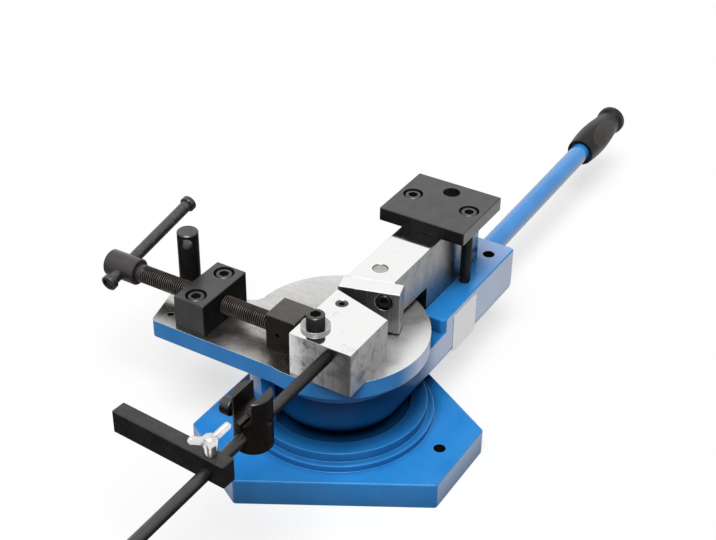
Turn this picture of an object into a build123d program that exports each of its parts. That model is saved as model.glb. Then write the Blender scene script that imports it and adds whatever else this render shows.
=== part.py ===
from build123d import *
import os
from math import cos, radians, sin, tan

# A bench bending machine, in millimetres. Z is up. The origin is on the pivot axis of the
# swing arm, at the underside of the base. X runs along the clamp screw towards the former,
# and Y along the handle.

# Fits and gaps
RUN_FIT = 0.05            # radial play of a round part that turns or slides in a hole
RUN_GAP = 0.1             # end play of the hub between its thrust washers
SLIDE_GAP = 0.3           # room under and around parts that pass each other
BOLT_PLAY = 0.5           # radial play of a bolt in a clearance hole

# Fasteners
SCREW_BIG = 12.0          # thread of the cap screws that carry the bending load
SCREW_SMALL = 10.0        # thread of the screws in the leg and in the bending plate
SCREW_FORMER = 12.7       # thread of the cap screw in the former
HEAD_RATIO = 1.5          # cap head diameter over thread diameter
SOCKET_RATIO = 0.82       # hexagon socket across flats over thread diameter
SOCKET_DEPTH_RATIO = 0.55
CBORE_PLAY = 2.3          # radial room around a sunk cap head
HEAD_SUNK = 1.0           # how far a sunk cap head stays below the surface

# Hub of the swing arm and what is stacked around it
HUB_R = 74.0
HUB_H = 44.5
HUB_OVER_RING = 3.5       # height of the hub above the ring of the base
BOSS_R = 74.0             # round boss under the table
BOSS_H = 22.2
BOSS_GAP = 0.3            # gap between the hub and the boss

# Base
BASE_T = 31.0
BASE_MARGIN = 16.2        # plate beyond the foot of the ring at the long edges
BASE_CORNER_R = 4.5
BASE_EDGE_R = 2.0
BENCH_PCD = 250.0
BENCH_HOLE_D = 13.0
BENCH_EDGE = 25.5         # from the hole to the short edge of the plate
RING_H = 18.5
RING_W = 17.8             # width of the flat top of the ring
RING_PLAY = 4.5           # from the hub to the bore of the ring
RING_STEP_H = 7.7
RING_STEP_W = 7.0
RING_DRAFT = 0.3
RING_EDGE_R = 0.9
RING_FLOOR = 6.0          # floor inside the ring, above the plate
NUT_RECESS_R = 36.0
NUT_RECESS_H = 20.0
BASE_BOSS_R = 42.0

# Spindle
SPINDLE_D = 40.0
BUSH_WALL = 4.0
SPINDLE_TOP_COVER = 8.0   # metal left above the spindle in the table
SPINDLE_THREAD_D = 24.0
SPINDLE_TAIL = 17.0       # thread below the floor of the nut recess
SPINDLE_WASHER_R = 30.0
SPINDLE_WASHER_T = 4.0
NUT_AF = 36.0
NUT_H = 12.0
THRUST_R = 40.0
THRUST_T = 2.4

# Table
TABLE_T = 21.0
TABLE_LIP = 1.7           # disc beyond the leg
TABLE_FLAT = 2.4          # from the rim of the disc back to the straight front edge
TABLE_ARM_W = 84.3
TABLE_TAIL = 39.4         # table behind the bracket, on the screw axis
TABLE_END_SLANT = 14.3    # slant of the free end, degrees
TABLE_CORNER_R = 5.0
TABLE_CROTCH_R = 16.0
TABLE_EDGE_R = 1.5
TABLE_SMALL_HOLE_D = 7.0
SMALL_HOLE_BACK = 17.8    # from the bracket
SMALL_HOLE_SIDE = -23.4   # from the screw axis
LEG_T = 16.5
LEG_START = 209.0         # degrees about the pivot
LEG_SPAN = 35.0
LEG_SCREW_INSET = 9.0     # degrees from the ends of the leg
LEG_SCREW_DEPTH = 28.0
LEG_HEAD_SUNK = 4.0

# Former block
TOOL_H = 50.0             # height of the former and the bending bar above the table
FORMER_W = 71.5
FORMER_CORNER = 3.6       # from the pivot axis to the working corner
FORMER_BEVEL = 15.6       # slant of the rear face, degrees
FORMER_SCREW_X = 17.0
FORMER_SCREW_FRONT = 22.8  # from the front face
FORMER_WASHER_R = 15.2
FORMER_WASHER_T = 3.2
FORMER_GRUB_X = 17.6
FORMER_GRUB_Y = -23.2
FORMER_GRUB_L = 16.0
GRUB_SUNK = 0.6
GRUB_RIM = 0.9            # chamfer round the former's grub screw
TABLE_THREAD_DEPTH = 16.0  # how far a screw reaches into the table

# Clamp
WORK_GAP = 9.2            # open gap between the jaw and the former
JAW_L = 35.5
JAW_W = 35.5
JAW_H = 41.5
JAW_EDGE = 0.8
JAW_TRAVEL = 62.7         # free way of the jaw back to the bracket
JAW_GRUB_D = 5.0
JAW_GRUB_BACK = 14.4      # from the rear face of the jaw
BRACKET_L = 37.5
BRACKET_W = 77.0
BRACKET_H = 38.7
BRACKET_SCREW_PITCH = 49.2
BLOCK_EDGE = 0.8
CLAMP_H = 19.5            # screw axis above the table
CLAMP_SCREW_D = 20.0
CLAMP_TAIL = 75.9         # thread behind the bracket
SPIGOT_D = 12.0
SPIGOT_L = 20.0
SPIGOT_END_GAP = 1.0
SPIGOT_GROOVE_D = 9.0
HEAD_D = 29.5
HEAD_L = 39.6
HEAD_EDGE = 1.2
TBAR_FROM_FACE = 20.2     # behind the front face of the head
TBAR_D = 13.5
TBAR_TILT = 10.7          # degrees above the horizontal, as the screw stands
TBAR_NEAR = 26.7          # from the screw axis to the middle of the near cap
TBAR_FAR = 117.0
CAP_D = 18.0
CAP_T = 7.0
CAP_WALL = 2.0
CAP_EDGE_R = 1.2
CAP_DISH_D = 12.0
CAP_DISH_DEPTH = 1.8

# Upright pin
PIN_D = 23.2
PIN_H = 74.0              # above the table
PIN_DEPTH = 16.0
PIN_BACK = 28.6           # from the bracket
PIN_SIDE = 26.8           # from the screw axis
PIN_EYE_D = 12.0
PIN_EYE_DROP = 10.0
PIN_EYE_TURN = -61.0      # direction of the eye in plan, degrees
PIN_EDGE = 1.2

# Swing arm
ARM_W = 108.0
ARM_TAIL = 49.0           # arm behind the bending bar
ARM_CORNER_R = 5.0
ARM_TAIL_R = 16.0
ARM_CROTCH_R = 10.0
LEDGE_UNDER_TABLE = 4.6   # top of the cheeks below the underside of the table
LEDGE_BEHIND_TABLE = 1.8  # front of the cheeks behind the rim of the table
LEDGE_CORNER_R = 7.0
LEDGE_EDGE_R = 1.5
CHANNEL_PLAY = 0.5        # each side of the bending bar
WALL_T = 10.0
WALL_W = 48.0
WALL_H = 35.6
LEDGE_HOLE_D = 13.7
LEDGE_HOLE_DEPTH = 40.0
LEDGE_HOLE_BACK = 21.3    # behind the bending bar
LEDGE_HOLE_PITCH = 67.0

# Bending bar and plate
BAR_W = 49.5
BAR_REAR = 224.0          # from the pivot axis
BAR_LIFT = 3.0            # front of the bar above the table
BAR_STEP_BEHIND_TABLE = 13.3
BAR_EDGE = 0.7
PLATE_ANGLE = 16.35       # degrees in plan
PLATE_L = 66.0
PLATE_T = 20.0
PLATE_LIFT = 2.0
PLATE_FACE = 2.3          # from the pivot axis to the working face
PLATE_LEFT = 2.1          # plate beyond the pivot axis
PLATE_SCREW_SIDE = 18.5   # from the middle of the bar
PLATE_SCREW_PITCH = 24.0
PLATE_SCREW_STEP = 12.0   # the lower screw is this much nearer to the pivot
PLATE_SCREW_DEPTH = 22.0  # in the bar
DOWEL_D = 16.5
DOWEL_Y = 52.9
DOWEL_SIDE = -2.0         # from the middle of the bar
DOWEL_L = 30.0
DOWEL_SUNK = 0.9          # how far the dowel stays below the top of the bar
DOWEL_EDGE = 0.5

# Clamp plate over the bar
CLAMP_PLATE_SIDE = 17.0   # from its screws to the sides of the plate
CLAMP_PLATE_L = 90.6
CLAMP_PLATE_T = 16.5
CLAMP_PLATE_BACK = 2.6    # plate behind the bar
CLAMP_PLATE_EDGE = 1.0
CLAMP_SCREW_WALL = 4.0    # metal between the channel and the screws
CLAMP_SCREW_DEPTH = 28.0  # in the cheeks
CLAMP_HOLE_D = 19.5
CLAMP_HOLE_INSET = 19.9   # from the rear edge of the plate

# Handle
HANDLE_D = 25.5
HANDLE_WALL = 3.0
HANDLE_TILT = 1.2         # degrees up towards the grip
HANDLE_H = 71.4           # height of the tube where it leaves the arm
HANDLE_DEPTH = 60.0       # in the arm
HANDLE_REACH = 435.0      # from the arm to the end of the grip
GRIP_L = 113.0
GRIP_END_T = 5.0
GRIP_MOUTH_R = 18.2
GRIP_BELLY_R = 20.6
GRIP_BELLY_ALONG = 52.0   # from the mouth to the widest place
GRIP_NECK_R = 16.0
GRIP_FLANGE_R = 19.2
GRIP_FLANGE_T = 9.0
GRIP_NECK_W = 12.0
GRIP_EDGE_R = 2.0
GRIP_LIP_T = 1.8          # wall of the lip around the open mouth
GRIP_LIP_L = 3.0
GRIP_LIP_R = 0.7

# Length stop
ROD_D = 12.0
ROD_X = 44.3
ROD_DROP = 12.0           # rod axis below the top of the former
ROD_DEPTH = 30.0          # in the former
ROD_L = 400.0
ROD_EDGE = 1.0
POST_Y = -218.7
POST_D = 37.0
POST_TOP = 41.5           # top of the post above the rod axis
POST_BOTTOM = 17.2
POST_EDGE = 1.0
POST_SLOT_W = 19.2        # the slot that takes the stock has a round end
POST_SLOT_DEPTH = 26.3
POST_SLIT_W = 3.0         # clamping slit from the slot down to the rod
POST_SCREW_D = 8.0
POST_SCREW_LIFT = 14.2    # above the rod axis
POST_KNOB_D = 17.6
POST_KNOB_L = 11.3
POST_KNOB_NECK_D = 10.0
POST_KNOB_NECK_L = 2.5
POST_KNOB_EDGE_R = 2.0
STOP_Y = -282.9           # middle of the stop bar on the rod
STOP_L = 130.7
STOP_T = 16.0
STOP_H = 25.0
STOP_END = 20.1           # bar beyond the rod
STOP_UNDER = 8.5          # bar below the rod axis
STOP_SKEW = -4.3          # degrees in plan, off square to the rod
STOP_EDGE = 1.0
WING_SCREW_D = 8.0
WING_FOOT_R = 5.8
WING_NECK_R = 6.3
WING_NECK_H = 5.5
WING_HUB_R = 7.6
WING_HUB_H = 14.0         # to the widest place of the hub
WING_DOME_H = 7.0
WING_SPAN = 34.2          # between the middles of the wing tips
WING_TIP_H = 23.0
WING_TIP_R = 3.8
WING_T = 4.0
WING_ROOT_LOW = 9.0
WING_ROOT_HIGH = 18.0
WING_EDGE_R = 1.2
WING_TURN = 65.0          # degrees in plan

# Heights of the stack
PLATE_TOP = BASE_T
RING_TOP = PLATE_TOP + RING_H
ARM_BOTTOM = RING_TOP + HUB_OVER_RING
ARM_FLOOR = ARM_BOTTOM + HUB_H
BOSS_BOTTOM = ARM_FLOOR + BOSS_GAP
TABLE_BOTTOM = BOSS_BOTTOM + BOSS_H
TABLE_TOP = TABLE_BOTTOM + TABLE_T
TOOL_TOP = TABLE_TOP + TOOL_H
LEDGE_TOP = TABLE_BOTTOM - LEDGE_UNDER_TABLE
WALL_TOP = LEDGE_TOP + WALL_H
LOWER_THRUST_TOP = ARM_BOTTOM - RUN_GAP / 2
UPPER_THRUST_BOTTOM = ARM_FLOOR + RUN_GAP / 2

# Radii about the pivot
RING_BORE_R = HUB_R + RING_PLAY
RING_TOP_R = RING_BORE_R + RING_W
RING_FOOT_R = RING_TOP_R + RING_STEP_W + 2 * RING_DRAFT
LEG_R = RING_BORE_R + LEG_T
TABLE_R = LEG_R + TABLE_LIP
LONG_APOTHEM = RING_FOOT_R + BASE_MARGIN
SHORT_APOTHEM = BENCH_PCD / 2 + BENCH_EDGE

# Places along the clamp, from the former to the free end of the table
TABLE_FRONT = -(TABLE_R - TABLE_FLAT)
CLAMP_Y = TABLE_FRONT + TABLE_ARM_W / 2
CLAMP_Z = TABLE_TOP + CLAMP_H
JAW_FACE = -WORK_GAP
JAW_REAR = JAW_FACE - JAW_L
BRACKET_FACE = JAW_REAR - JAW_TRAVEL
BRACKET_REAR = BRACKET_FACE - BRACKET_L
BRACKET_X = (BRACKET_FACE + BRACKET_REAR) / 2
TABLE_END = BRACKET_REAR - TABLE_TAIL
THREAD_END = BRACKET_REAR - CLAMP_TAIL
HEAD_END = THREAD_END - HEAD_L
TBAR_X = THREAD_END - TBAR_FROM_FACE
TBAR_DIRECTION = (0, cos(radians(TBAR_TILT)), sin(radians(TBAR_TILT)))

# Places along the arm
ARM_X = HUB_R - ARM_W / 2
ARM_LEFT = HUB_R - ARM_W
ARM_REAR = BAR_REAR + ARM_TAIL
LEDGE_FRONT = TABLE_R + LEDGE_BEHIND_TABLE
BAR_STEP = TABLE_R + BAR_STEP_BEHIND_TABLE
CHANNEL_W = BAR_W + 2 * CHANNEL_PLAY
CLAMP_PITCH = CHANNEL_W + SCREW_BIG + 2 * CLAMP_SCREW_WALL
CLAMP_PLATE_W = CLAMP_PITCH + 2 * CLAMP_PLATE_SIDE
CLAMP_PLATE_REAR = BAR_REAR + CLAMP_PLATE_BACK
CLAMP_PLATE_Y = CLAMP_PLATE_REAR - CLAMP_PLATE_L / 2
HANDLE_DIRECTION = (0, cos(radians(HANDLE_TILT)), sin(radians(HANDLE_TILT)))
PLATE_ALONG = (cos(radians(PLATE_ANGLE)), sin(radians(PLATE_ANGLE)))
PLATE_NORMAL = (-PLATE_ALONG[1], PLATE_ALONG[0])
PLATE_BACK = PLATE_FACE + PLATE_T
PLATE_SCREW_X = ARM_X + PLATE_SCREW_SIDE
PLATE_SCREW_ALONG = PLATE_LEFT + (PLATE_SCREW_X + PLATE_BACK * PLATE_ALONG[1]) / PLATE_ALONG[0]

# Places along the length stop
ROD_Z = TOOL_TOP - ROD_DROP
ROD_START = TABLE_FRONT + ROD_DEPTH
POST_SCREW_Z = ROD_Z + POST_SCREW_LIFT
STOP_SEAT = STOP_H - STOP_UNDER
STOP_ALONG = (cos(radians(STOP_SKEW)), sin(radians(STOP_SKEW)), 0)


def block(x, y, z):
    """A box between the limits x, y and z."""
    limits = (x, y, z)
    middle = [(low + high) / 2 for low, high in limits]
    return Pos(*middle) * Box(*[high - low for low, high in limits])


def round_bar(start, direction, diameter, length):
    """A round bar from the point start along direction."""
    seat = Plane(origin=start, z_dir=direction)
    return seat * Cylinder(diameter / 2, length, align=(Align.CENTER, Align.CENTER, Align.MIN))


def upright(x, y, diameter, low, high):
    """A round bar that stands between two heights."""
    return round_bar((x, y, low), (0, 0, 1), diameter, high - low)


def tube(diameter, bore, low, high):
    """A ring about the pivot axis."""
    return upright(0, 0, diameter, low, high) - upright(0, 0, bore, low, high)


def turned(*profile):
    """A solid turned about Z from points (radius, height), closed along the axis."""
    outline = Polyline(*[(radius, 0, height) for radius, height in profile], close=True)
    return revolve(make_face(outline), Axis.Z)


def prism(points, low, high):
    """A straight prism over a plan outline, between two heights."""
    face = Pos(0, 0, low) * make_face(Polyline(*points, close=True))
    return extrude(face, high - low, dir=(0, 0, 1))


def hexagon(seat, across_flats, depth):
    """A hexagonal prism on a seat plane, along its normal."""
    profile = seat * RegularPolygon(across_flats / 2, 6, major_radius=False)
    return extrude(profile, depth, dir=seat.z_dir)


def head_height(thread):
    """A cap head is as high as its thread is wide."""
    return thread


def sunk_depth(thread):
    """Depth of the counterbore that hides a cap head."""
    return head_height(thread) + HEAD_SUNK


def cap_screw(seat, thread, length):
    """A hexagon socket cap screw. The head stands on the seat plane, the shank goes down."""
    height = head_height(thread)
    head = seat * Cylinder(thread * HEAD_RATIO / 2, height, align=(Align.CENTER, Align.CENTER, Align.MIN))
    head = chamfer(head.edges().sort_by(Axis(seat.origin, seat.z_dir))[-1], thread / 16)
    depth = thread * SOCKET_DEPTH_RATIO
    head -= hexagon(seat.offset(height - depth), thread * SOCKET_RATIO, depth)
    return head + round_bar(seat.origin, -seat.z_dir, thread, length)


def counterbore(seat, thread, depth):
    """The round pocket over a seat plane that takes a cap head."""
    return round_bar(seat.origin, seat.z_dir, thread * HEAD_RATIO + 2 * CBORE_PLAY, depth)


def grub_screw(start, direction, diameter, length):
    """A headless screw from its socket end along direction."""
    body = round_bar(start, direction, diameter, length)
    socket = Plane(origin=start, z_dir=direction)
    return body - hexagon(socket, diameter / 2, diameter / 2)


# Seats of the cap screws
def flat_seat(x, y, z):
    return Plane(origin=(x, y, z), z_dir=(0, 0, 1))


def leg_seats():
    """Seats in the underside of the base, with the heads downwards."""
    radius = RING_BORE_R + LEG_T / 2
    turns = (LEG_START + LEG_SCREW_INSET, LEG_START + LEG_SPAN - LEG_SCREW_INSET)
    places = [(radius * cos(radians(turn)), radius * sin(radians(turn))) for turn in turns]
    height = head_height(SCREW_SMALL) + LEG_HEAD_SUNK
    return [Plane(origin=(x, y, height), z_dir=(0, 0, -1)) for x, y in places]


def bracket_seats():
    height = TABLE_TOP + BRACKET_H - sunk_depth(SCREW_BIG)
    sides = (-BRACKET_SCREW_PITCH / 2, BRACKET_SCREW_PITCH / 2)
    return [flat_seat(BRACKET_X, CLAMP_Y + side, height) for side in sides]


def clamp_plate_seats():
    height = TOOL_TOP + CLAMP_PLATE_T - sunk_depth(SCREW_BIG)
    sides = (-CLAMP_PITCH / 2, CLAMP_PITCH / 2)
    return [flat_seat(ARM_X + side, CLAMP_PLATE_Y, height) for side in sides]


def plate_point(along, behind, height):
    """A point of the bending plate, from its tip, along it and behind its working face."""
    along -= PLATE_LEFT
    behind += PLATE_FACE
    x = along * PLATE_ALONG[0] + behind * PLATE_NORMAL[0]
    y = along * PLATE_ALONG[1] + behind * PLATE_NORMAL[1]
    return (x, y, height)


def top_rim(body, diameter):
    """The highest round edge of that diameter."""
    rims = body.edges().filter_by(GeomType.CIRCLE)
    return rims.filter_by(lambda edge: abs(2 * edge.radius - diameter) < 0.01).sort_by(Axis.Z)[-1]


def plate_seats():
    middle = (TABLE_TOP + PLATE_LIFT + TOOL_TOP) / 2
    depth = sunk_depth(SCREW_SMALL)
    low = (PLATE_SCREW_ALONG - PLATE_SCREW_STEP, middle - PLATE_SCREW_PITCH / 2)
    high = (PLATE_SCREW_ALONG, middle + PLATE_SCREW_PITCH / 2)
    outward = (-PLATE_NORMAL[0], -PLATE_NORMAL[1], 0)
    points = [plate_point(along, depth, height) for along, height in (low, high)]
    return [Plane(origin=point, z_dir=outward) for point in points]


FORMER_SCREW_Y = TABLE_FRONT + FORMER_SCREW_FRONT
PIN_X = BRACKET_REAR - PIN_BACK
PIN_Y = CLAMP_Y + PIN_SIDE


# Base casting: a triangle with cut corners, and a stepped ring around a recess
def base_plate():
    half_short = (LONG_APOTHEM - SHORT_APOTHEM / 2) / sin(radians(60))
    corners = []
    for turn in (0, 120, 240):
        for side in (-half_short, half_short):
            corner = Vector(SHORT_APOTHEM, side).rotate(Axis.Z, turn)
            corners.append((corner.X, corner.Y))
    plate = prism(corners, 0, PLATE_TOP)
    plate = fillet(plate.edges().filter_by(Axis.Z), BASE_CORNER_R)
    plate = fillet(plate.faces().sort_by(Axis.Z)[-1].edges(), BASE_EDGE_R)

    step_top = PLATE_TOP + RING_STEP_H
    ring = turned(
        (0, PLATE_TOP), (RING_FOOT_R, PLATE_TOP), (RING_FOOT_R - RING_DRAFT, step_top),
        (RING_TOP_R + RING_DRAFT, step_top), (RING_TOP_R, RING_TOP), (0, RING_TOP),
    )
    rims = ring.edges().filter_by(GeomType.CIRCLE).filter_by(lambda edge: edge.center().Z > PLATE_TOP)
    ring = fillet(rims, RING_EDGE_R)
    body = plate + ring
    body = fillet(top_rim(body, 2 * RING_FOOT_R), RING_EDGE_R)
    body -= tube(2 * RING_BORE_R, 2 * BASE_BOSS_R, PLATE_TOP + RING_FLOOR, RING_TOP)
    body += tube(2 * BASE_BOSS_R, SPINDLE_D, RING_TOP, LOWER_THRUST_TOP - THRUST_T)

    body -= upright(0, 0, SPINDLE_D, NUT_RECESS_H, ARM_BOTTOM)
    body -= upright(0, 0, 2 * NUT_RECESS_R, 0, NUT_RECESS_H)
    for turn in (0, 120, 240):
        hole = Vector(BENCH_PCD / 2, 0).rotate(Axis.Z, turn)
        body -= upright(hole.X, hole.Y, BENCH_HOLE_D, 0, PLATE_TOP)
    for seat in leg_seats():
        body -= counterbore(seat, SCREW_SMALL, seat.origin.Z)
        body -= round_bar(seat.origin, (0, 0, 1), SCREW_SMALL + 2 * BOLT_PLAY, RING_TOP)
    return body


# Table casting: a disc with a straight arm, a boss around the spindle and a curved leg
def table():
    half = TABLE_ARM_W / 2
    lean = half * tan(radians(TABLE_END_SLANT))
    rear = TABLE_FRONT + TABLE_ARM_W
    outline = [(0, TABLE_FRONT), (TABLE_END + lean, TABLE_FRONT), (TABLE_END - lean, rear), (0, rear)]
    body = upright(0, 0, 2 * TABLE_R, TABLE_BOTTOM, TABLE_TOP) + prism(outline, TABLE_BOTTOM, TABLE_TOP)
    uprights = body.edges().filter_by(Axis.Z).sort_by(Axis.X)
    body = fillet(uprights[:2], TABLE_CORNER_R)
    inner = body.edges().filter_by(Axis.Z).filter_by_position(Axis.X, -TABLE_R, 0)
    body = fillet(inner.sort_by(Axis.Y)[-1], TABLE_CROTCH_R)
    body = fillet(body.faces().sort_by(Axis.Z)[0].edges(), TABLE_EDGE_R)

    body += upright(0, 0, 2 * BOSS_R, BOSS_BOTTOM, TABLE_BOTTOM)
    wall = Polyline(
        (RING_BORE_R, 0, RING_TOP), (LEG_R, 0, RING_TOP),
        (LEG_R, 0, TABLE_BOTTOM + TABLE_EDGE_R), (RING_BORE_R, 0, TABLE_BOTTOM + TABLE_EDGE_R), close=True,
    )
    body += Rot(0, 0, LEG_START) * revolve(make_face(wall), Axis.Z, LEG_SPAN)

    body -= upright(0, 0, 2 * (THRUST_R + SLIDE_GAP), BOSS_BOTTOM, UPPER_THRUST_BOTTOM + THRUST_T)
    body -= upright(0, 0, SPINDLE_D, BOSS_BOTTOM, TABLE_TOP - SPINDLE_TOP_COVER)
    for seat in leg_seats():
        body -= round_bar(seat.origin, (0, 0, 1), SCREW_SMALL, RING_TOP + LEG_SCREW_DEPTH - seat.origin.Z)
    for seat in bracket_seats():
        body -= upright(seat.origin.X, seat.origin.Y, SCREW_BIG, TABLE_TOP - TABLE_THREAD_DEPTH, TABLE_TOP)
    body -= upright(FORMER_SCREW_X, FORMER_SCREW_Y, SCREW_FORMER, TABLE_TOP - TABLE_THREAD_DEPTH, TABLE_TOP)
    body -= upright(PIN_X, PIN_Y, PIN_D + 2 * RUN_FIT, TABLE_TOP - PIN_DEPTH, TABLE_TOP)
    small_hole = (BRACKET_REAR - SMALL_HOLE_BACK, CLAMP_Y + SMALL_HOLE_SIDE)
    body -= upright(*small_hole, TABLE_SMALL_HOLE_D, TABLE_BOTTOM, TABLE_TOP)
    return body


def leg_screws():
    length = RING_TOP + LEG_SCREW_DEPTH - leg_seats()[0].origin.Z
    return Compound([cap_screw(seat, SCREW_SMALL, length) for seat in leg_seats()])


# Spindle: a plain journal, pressed into the table and drawn down by a nut under the base
def spindle():
    journal = upright(0, 0, SPINDLE_D, NUT_RECESS_H, TABLE_TOP - SPINDLE_TOP_COVER)
    thread = upright(0, 0, SPINDLE_THREAD_D, NUT_RECESS_H - SPINDLE_TAIL, NUT_RECESS_H)
    return journal + thread


def spindle_washer():
    bore = SPINDLE_THREAD_D + 2 * BOLT_PLAY
    return tube(2 * SPINDLE_WASHER_R, bore, NUT_RECESS_H - SPINDLE_WASHER_T, NUT_RECESS_H)


def spindle_nut():
    seat = flat_seat(0, 0, NUT_RECESS_H - SPINDLE_WASHER_T - NUT_H)
    nut = hexagon(seat, NUT_AF, NUT_H)
    return nut - upright(0, 0, SPINDLE_THREAD_D, seat.origin.Z, seat.origin.Z + NUT_H)


def thrust_washers():
    bore = SPINDLE_D + 2 * BOLT_PLAY
    lower = tube(2 * THRUST_R, bore, LOWER_THRUST_TOP - THRUST_T, LOWER_THRUST_TOP)
    upper = tube(2 * THRUST_R, bore, UPPER_THRUST_BOTTOM, UPPER_THRUST_BOTTOM + THRUST_T)
    return Compound([lower, upper])


# Former: a ground block with a slanted rear face, held by one cap screw
def former_block():
    fall = FORMER_W * tan(radians(FORMER_BEVEL))
    outline = [
        (0, TABLE_FRONT), (FORMER_W, TABLE_FRONT), (FORMER_W, -FORMER_CORNER - fall), (0, -FORMER_CORNER),
    ]
    body = prism(outline, TABLE_TOP, TOOL_TOP)
    body = chamfer(body.edges().filter_by(Axis.Z).group_by(Axis.Y)[0], BLOCK_EDGE)
    body = chamfer(body.faces().sort_by(Axis.Z)[-1].edges(), BLOCK_EDGE / 2)
    body -= upright(FORMER_SCREW_X, FORMER_SCREW_Y, SCREW_FORMER + 2 * BOLT_PLAY, TABLE_TOP, TOOL_TOP)
    body -= upright(FORMER_GRUB_X, FORMER_GRUB_Y, SCREW_BIG, TOOL_TOP - GRUB_SUNK - FORMER_GRUB_L, TOOL_TOP)
    body = chamfer(top_rim(body, SCREW_BIG), GRUB_RIM)
    body -= round_bar((ROD_X, TABLE_FRONT, ROD_Z), (0, 1, 0), ROD_D, ROD_DEPTH)
    return body


def former_washer():
    place = (FORMER_SCREW_X, FORMER_SCREW_Y)
    body = upright(*place, 2 * FORMER_WASHER_R, TOOL_TOP, TOOL_TOP + FORMER_WASHER_T)
    return body - upright(*place, SCREW_FORMER + 2 * BOLT_PLAY, TOOL_TOP, TOOL_TOP + FORMER_WASHER_T)


def former_screw():
    seat = flat_seat(FORMER_SCREW_X, FORMER_SCREW_Y, TOOL_TOP + FORMER_WASHER_T)
    return cap_screw(seat, SCREW_FORMER, FORMER_WASHER_T + TOOL_H + TABLE_THREAD_DEPTH)


def former_grub():
    top = (FORMER_GRUB_X, FORMER_GRUB_Y, TOOL_TOP - GRUB_SUNK)
    return grub_screw(top, (0, 0, -1), SCREW_BIG, FORMER_GRUB_L)


# Bracket: the fixed nut block of the clamp
def bracket():
    sides = (CLAMP_Y - BRACKET_W / 2, CLAMP_Y + BRACKET_W / 2)
    body = block((BRACKET_REAR, BRACKET_FACE), sides, (TABLE_TOP, TABLE_TOP + BRACKET_H))
    body = chamfer(body.edges().filter_by(Axis.Z), BLOCK_EDGE)
    body = chamfer(body.faces().sort_by(Axis.Z)[-1].edges(), BLOCK_EDGE)
    bore = CLAMP_SCREW_D + 2 * RUN_FIT
    body -= round_bar((BRACKET_REAR, CLAMP_Y, CLAMP_Z), (1, 0, 0), bore, BRACKET_L)
    for seat in bracket_seats():
        body -= counterbore(seat, SCREW_BIG, sunk_depth(SCREW_BIG))
        body -= upright(seat.origin.X, seat.origin.Y, SCREW_BIG + 2 * BOLT_PLAY, TABLE_TOP, seat.origin.Z)
    return body


def bracket_screws():
    length = BRACKET_H - sunk_depth(SCREW_BIG) + TABLE_THREAD_DEPTH
    return Compound([cap_screw(seat, SCREW_BIG, length) for seat in bracket_seats()])


# Jaw: slides on the table and hangs on the spigot of the clamp screw
def jaw():
    sides = (CLAMP_Y - JAW_W / 2, CLAMP_Y + JAW_W / 2)
    body = block((JAW_REAR, JAW_FACE), sides, (TABLE_TOP + SLIDE_GAP, TABLE_TOP + JAW_H))
    body = chamfer(body.edges().filter_by(Axis.Z), JAW_EDGE)
    body = chamfer(body.faces().sort_by(Axis.Z)[-1].edges(), JAW_EDGE)
    depth = SPIGOT_L + SPIGOT_END_GAP
    body -= round_bar((JAW_REAR, CLAMP_Y, CLAMP_Z), (1, 0, 0), SPIGOT_D + 2 * RUN_FIT, depth)
    start = (JAW_REAR + JAW_GRUB_BACK, CLAMP_Y - JAW_W / 2, CLAMP_Z)
    body -= round_bar(start, (0, 1, 0), JAW_GRUB_D, JAW_W / 2)
    return body


def jaw_grub():
    start = (JAW_REAR + JAW_GRUB_BACK, CLAMP_Y - JAW_W / 2 + GRUB_SUNK, CLAMP_Z)
    length = JAW_W / 2 - GRUB_SUNK - SPIGOT_GROOVE_D / 2 - SLIDE_GAP
    return grub_screw(start, (0, 1, 0), JAW_GRUB_D, length)


# Clamp screw: spigot, thread and head in one turned piece
def clamp_screw():
    axis = Plane(origin=(JAW_REAR, CLAMP_Y, CLAMP_Z), x_dir=(0, 1, 0), z_dir=(1, 0, 0))
    groove = JAW_GRUB_D / 2 + SLIDE_GAP
    low, high = JAW_GRUB_BACK - groove, JAW_GRUB_BACK + groove
    shoulder = -SLIDE_GAP
    thread_end, head_end = THREAD_END - JAW_REAR, HEAD_END - JAW_REAR
    body = turned(
        (0, SPIGOT_L), (SPIGOT_D / 2, SPIGOT_L), (SPIGOT_D / 2, high), (SPIGOT_GROOVE_D / 2, high),
        (SPIGOT_GROOVE_D / 2, low), (SPIGOT_D / 2, low), (SPIGOT_D / 2, shoulder),
        (CLAMP_SCREW_D / 2, shoulder), (CLAMP_SCREW_D / 2, thread_end),
        (HEAD_D / 2 - HEAD_EDGE, thread_end), (HEAD_D / 2, thread_end - HEAD_EDGE),
        (HEAD_D / 2, head_end + HEAD_EDGE), (HEAD_D / 2 - HEAD_EDGE, head_end), (0, head_end),
    )
    body = axis * body
    start = Vector(TBAR_X, CLAMP_Y, CLAMP_Z) - Vector(TBAR_DIRECTION) * HEAD_D
    return body - round_bar(start, TBAR_DIRECTION, TBAR_D + 2 * RUN_FIT, 2 * HEAD_D)


def tbar_point(along):
    return Vector(TBAR_X, CLAMP_Y, CLAMP_Z) + Vector(TBAR_DIRECTION) * along


def tbar():
    inset = CAP_T / 2 - CAP_DISH_DEPTH - CAP_WALL
    start = tbar_point(-TBAR_NEAR - inset)
    return round_bar(start, TBAR_DIRECTION, TBAR_D, TBAR_NEAR + TBAR_FAR + 2 * inset)


def tbar_caps():
    caps = []
    for along, outward in ((-TBAR_NEAR, -1), (TBAR_FAR, 1)):
        cap = round_bar(tbar_point(along - CAP_T / 2), TBAR_DIRECTION, CAP_D, CAP_T)
        cap = fillet(cap.edges().filter_by(GeomType.CIRCLE), CAP_EDGE_R)
        end = tbar_point(along + outward * CAP_T / 2)
        cap -= round_bar(end, -outward * Vector(TBAR_DIRECTION), CAP_DISH_D, CAP_DISH_DEPTH)
        caps.append(cap - tbar())
    return Compound(caps)


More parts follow.
